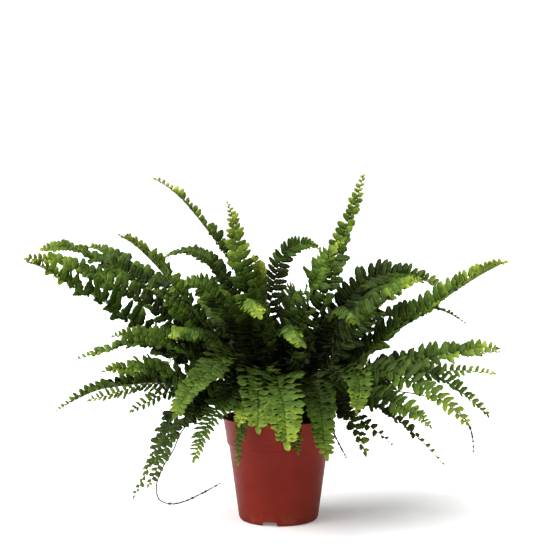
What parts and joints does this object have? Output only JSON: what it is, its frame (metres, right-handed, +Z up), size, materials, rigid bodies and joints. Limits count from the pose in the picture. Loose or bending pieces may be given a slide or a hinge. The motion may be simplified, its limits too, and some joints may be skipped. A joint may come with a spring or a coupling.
{
  "type": "potted fern",
  "caption": "Potted sword fern: long arching fronds of narrow leaflets spread from the soil of a round tapered plastic pot, with thin runners hanging over its rim.",
  "frame": {"origin": "the middle of the pot's foot, on the surface that the pot stands on", "axes": "+Z up along the pot's axis, +X to the right and -Y towards the viewer of the pictured side"},
  "size_m": [0.5284, 0.4192, 0.3682],
  "materials": {
    "pot_plastic": "satin",
    "soil": "matte",
    "frond_green": "satin",
    "frond_young": "satin",
    "runner": "matte"
  },
  "bodies": {
    "root": {"pot": "pot_plastic", "soil": "soil", "frond_01": "frond_green", "frond_02": "frond_green", "frond_03": "frond_young", "frond_04": "frond_green", "frond_05": "frond_green", "frond_06": "frond_green", "frond_07": "frond_green", "frond_08": "frond_green", "frond_09": "frond_green", "frond_10": "frond_green", "frond_11": "frond_green", "frond_12": "frond_green", "frond_13": "frond_green", "frond_14": "frond_green", "frond_15": "frond_green", "frond_16": "frond_green", "frond_17": "frond_green", "frond_18": "frond_green", "frond_19": "frond_green", "frond_20": "frond_green", "frond_21": "frond_green", "frond_22": "frond_green", "frond_23": "frond_green", "frond_24": "frond_green", "frond_25": "frond_green", "frond_26": "frond_green", "frond_27": "frond_green", "frond_28": "frond_green", "frond_29": "frond_green", "frond_30": "frond_green", "frond_31": "frond_green", "frond_32": "frond_green", "frond_33": "frond_green", "frond_34": "frond_green", "frond_35": "frond_green", "frond_36": "frond_green", "frond_37": "frond_green", "frond_38": "frond_young", "frond_39": "frond_green", "frond_40": "frond_green", "frond_41": "frond_green", "frond_42": "frond_green", "frond_43": "frond_green", "frond_44": "frond_green", "frond_45": "frond_green", "frond_46": "frond_green", "frond_47": "frond_green", "frond_48": "frond_green", "frond_49": "frond_green", "frond_50": "frond_green", "frond_51": "frond_green", "frond_52": "frond_green", "frond_53": "frond_green", "frond_54": "frond_green", "frond_55": "frond_green", "runner_left": "runner", "runner_middle": "runner", "runner_right": "runner"}
  },
  "joints": []
}
